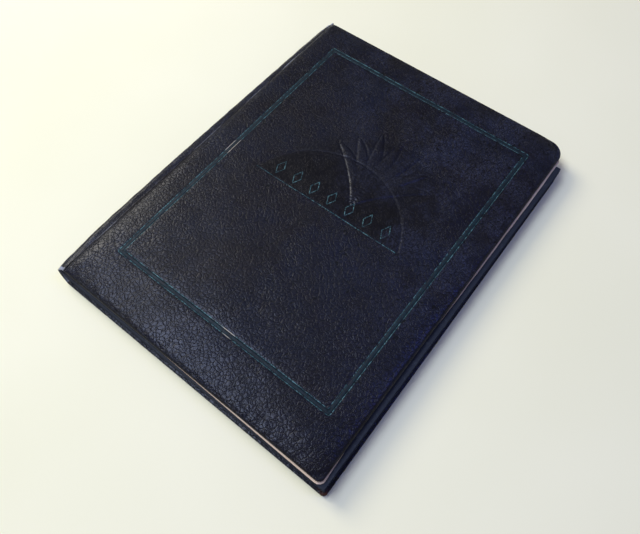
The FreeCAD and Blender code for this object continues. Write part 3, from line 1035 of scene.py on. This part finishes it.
def title_recipe():
    """The foil rule, or the row of lozenge outlines over it, laid on the leather."""
    r = Recipe("foil_title", Length="Float", Marks="Int", Mark_Width="Float",
               Mark_Height="Float", Raise="Float", Line="Float", Middle="Vector",
               Turn="Vector", Show_Marks="Bool", Leather="Object", Finish="Material")
    half = r.math("MULTIPLY", r.given("Length"), 0.5)
    share = r.math("DIVIDE", r.math("SUBTRACT", r.given("Marks"), 1.0),
                   r.math("ADD", r.given("Marks"), 1.0))

    def line(reach, count):
        run = r.node("GeometryNodeCurvePrimitiveLine", End=r.combine(reach, 0.0, 0.0),
                     Start=r.combine(r.math("MULTIPLY", reach, -1.0), 0.0, 0.0))
        return r.node("GeometryNodeResampleCurve", Curve=run.outputs[0], Count=count).outputs[0]

    kite = r.node("GeometryNodeCurvePrimitiveQuadrilateral", {"mode": "KITE"},
                  Width=r.given("Mark_Width"),
                  Bottom_Height=r.math("MULTIPLY", r.given("Mark_Height"), 0.5),
                  Top_Height=r.math("MULTIPLY", r.given("Mark_Height"), 0.5))
    fine = r.node("GeometryNodeSubdivideCurve", Curve=kite.outputs[0], Cuts=7)
    raised = r.node("GeometryNodeTransform", Geometry=swept(r, fine.outputs[0], r.given("Line")),
                    Translation=r.combine(0.0, r.given("Raise"), 0.0))
    spots = r.node("GeometryNodeCurveToPoints", {"mode": "EVALUATED"},
                   Curve=line(r.math("MULTIPLY", half, share), r.given("Marks")))
    row = r.node("GeometryNodeInstanceOnPoints", Points=spots.outputs[0],
                 Instance=raised.outputs[0])
    solid = r.node("GeometryNodeRealizeInstances", Geometry=row.outputs[0])
    chosen = r.node("GeometryNodeSwitch", {"input_type": "GEOMETRY"})
    r.feed(chosen.inputs["Switch"], r.given("Show_Marks"))
    r.feed(chosen.inputs["False"], swept(r, line(half, 90), r.given("Line")))
    r.feed(chosen.inputs["True"], solid.outputs[0])
    placed = r.node("GeometryNodeTransform", Geometry=chosen.outputs[0],
                    Translation=r.given("Middle"), Rotation=r.given("Turn"))
    r.finish(follow(r, placed.outputs[0]))
    return r


def build_foils():
    cover_piece = bpy.data.objects["front_cover_leather"]
    frames = border_recipe()
    middle = (border_low + border_high) / 2
    middle.z = FOIL * 0.2
    inset = 0.0
    for name, width, material, slot in (
            ("border_line_outer", LINE_WIDTH, pale_foil, "pale_foil"),
            ("border_band", BAND_WIDTH, teal_foil, "dark_foil"),
            ("border_line_inner", LINE_WIDTH, pale_foil, "pale_foil")):
        half = inset + width / 2
        shown = width * (0.98 if material is teal_foil else 0.8)
        piece = frames.grow(
            name + "_foil", Width=border_high.x - border_low.x - 2 * half,
            Length=border_high.y - border_low.y - 2 * half,
            Corner=max(BORDER_CORNER_R - half, 0.2 * MM), Middle=middle, Line=shown,
            Leather=cover_piece, Finish=material)
        claim(piece, slot, "front_cover", name)
        inset += width
    title = title_recipe()
    for name, show in (("title_rule", False), ("title_marks", True)):
        place = rule_middle.copy()
        place.z = FOIL * 0.2
        piece = title.grow(
            name + "_foil", Length=rule_length, Marks=MARK_COUNT, Mark_Width=MARK_WIDTH,
            Mark_Height=MARK_HEIGHT, Raise=MARK_RAISE, Line=MARK_LINE, Middle=place,
            Turn=(0.0, 0.0, RULE_TURN), Show_Marks=show, Leather=cover_piece, Finish=pale_foil)
        claim(piece, "pale_foil", "front_cover", name)


build_leaves()
build_foils()


# ------------------------------------------------------------------ cloth behind the leaves

CLOTH = 0.05 * MM
CLOTH_GLUED = 5.2 * MM


def cloth_strip(name, low_top, low_x, high_under, high_x, y0, y1):
    """Binding cloth glued on the piece below, folded back behind and glued under the one above."""
    gap = high_under - low_top
    tight = (low_top + 0.25 * gap, high_under - 0.25 * gap)
    back_x = min(low_x, high_x) - 0.18 * MM
    path = [(low_x + CLOTH_GLUED * n / 5, tight[0]) for n in range(5, 0, -1)]
    path += [(back_x, tight[0]), (back_x - 0.08 * MM, (tight[0] + tight[1]) / 2), (back_x, tight[1])]
    path += [(high_x + CLOTH_GLUED * n / 5, tight[1]) for n in range(1, 6)]
    path = np.array(path)
    way = np.gradient(path, axis=0)
    side = np.column_stack([way[:, 1], -way[:, 0]]) / np.hypot(*way.T)[:, None]
    loop = np.vstack([path + side * CLOTH / 2, (path - side * CLOTH / 2)[::-1]])
    along = grid_lines(y0, y1, 8 * MM)
    verts = [(x, y, z) for y in along for x, z in loop]
    count = len(loop)
    faces = [(r * count + n, r * count + (n + 1) % count, (r + 1) * count + (n + 1) % count,
              (r + 1) * count + n) for r in range(len(along) - 1) for n in range(count)]
    half = count // 2
    for first, turn in ((0, 1), (len(verts) - count, -1)):
        faces += [(first + n, first + count - 1 - n, first + count - 2 - n,
                   first + n + 1)[::turn] for n in range(half - 1)]
    strip = smooth_object(name, verts, faces, binding_cloth)
    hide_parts("spine_lining")
    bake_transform(strip)


def build_cloth():
    order = ["back_cover", *LEAF_NAMES[::-1], "front_cover"]
    for lower, upper in zip(order, order[1:]):
        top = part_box("back_lining" if lower == "back_cover" else lower + "_guard")
        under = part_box("front_lining" if upper == "front_cover" else upper)
        low_x = top[0].x if lower != "back_cover" else under[0].x - 2.5 * MM
        high_x = under[0].x if upper != "front_cover" else top[0].x + 3 * MM
        y0, y1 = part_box(LEAF_NAMES[0])[0].y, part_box(LEAF_NAMES[0])[1].y
        cloth_strip(f"binding_cloth_{lower}", top[1].z, low_x, under[0].z, high_x,
                    y0 + 2 * MM, y1 - 2 * MM)


build_cloth()

for name, material in [("front_board", grey_board), ("back_board", grey_board)] + [
        (leaf + "_guard", black_linen) for leaf in LEAF_NAMES]:
    for place in bpy.data.objects[name].material_slots:
        place.material = material

# ------------------------------------------------------------------ camera, light and floor

TARGET = Vector((20.81, -33.25, 0.0)) * MM
DISTANCE = 407.4 * MM
AZIMUTH, ELEVATION, ROLL = math.radians(39.1), math.radians(63.1), math.radians(-1.2)
LENS, SENSOR = 32.2, 36.0      # lens and sensor width, mm
FLOOR_HALF = 12.0              # middle of the floor to its edges


def build_camera():
    back_way = Vector((math.sin(AZIMUTH) * math.cos(ELEVATION),
                       -math.cos(AZIMUTH) * math.cos(ELEVATION), math.sin(ELEVATION)))
    level = (-back_way).cross(Vector((0, 0, 1))).normalized()
    raised = level.cross(-back_way)
    right = level * math.cos(ROLL) + raised * math.sin(ROLL)
    up = raised * math.cos(ROLL) - level * math.sin(ROLL)
    data = bpy.data.cameras.new("camera")
    data.sensor_width, data.lens = SENSOR, LENS
    data.clip_start, data.clip_end = 0.01, 50
    camera = bpy.data.objects.new("camera", data)
    turned = Matrix((right, up, back_way)).transposed().to_4x4()
    camera.matrix_world = Matrix.Translation(TARGET + back_way * DISTANCE) @ turned
    bpy.context.scene.collection.objects.link(camera)
    bpy.context.scene.camera = camera


def soft_light(name, place, size, power, colour):
    data = bpy.data.lights.new(name, "AREA")
    data.shape, data.energy, data.color = "ELLIPSE", power, colour
    data.size, data.size_y = size
    light = bpy.data.objects.new(name, data)
    light.location = place
    light.rotation_mode = "QUATERNION"
    light.rotation_quaternion = (-Vector(place)).to_track_quat("-Z", "Y")
    bpy.context.scene.collection.objects.link(light)


def build_studio():
    far = FLOOR_HALF
    corners = [(-far, -far, 0), (far, -far, 0), (far, far, 0), (-far, far, 0)]
    floor = smooth_object("studio_floor", corners, [(0, 1, 2, 3)], studio_floor("pale_floor"),
                          smooth=False)
    world = bpy.data.worlds.new("soft_room")
    world.use_nodes = True
    sky = world.node_tree.nodes["Background"]
    sky.inputs["Color"].default_value = (0.86, 0.91, 1.0, 1)
    sky.inputs["Strength"].default_value = 0.24
    bpy.context.scene.world = world
    bpy.context.scene.view_settings.view_transform = "Standard"
    soft_light("key", (-1.55, 0.1, 1.25), (0.9, 0.9), 26, (1.0, 0.97, 0.90))
    soft_light("overhead", (-0.45, -0.33, 1.25), (0.95, 0.5), 15, (0.60, 0.70, 1.0))
    soft_light("blue_fill", (0.62, 0.36, 1.12), (0.4, 0.7), 4, (0.12, 0.18, 1.0))


build_camera()
build_studio()
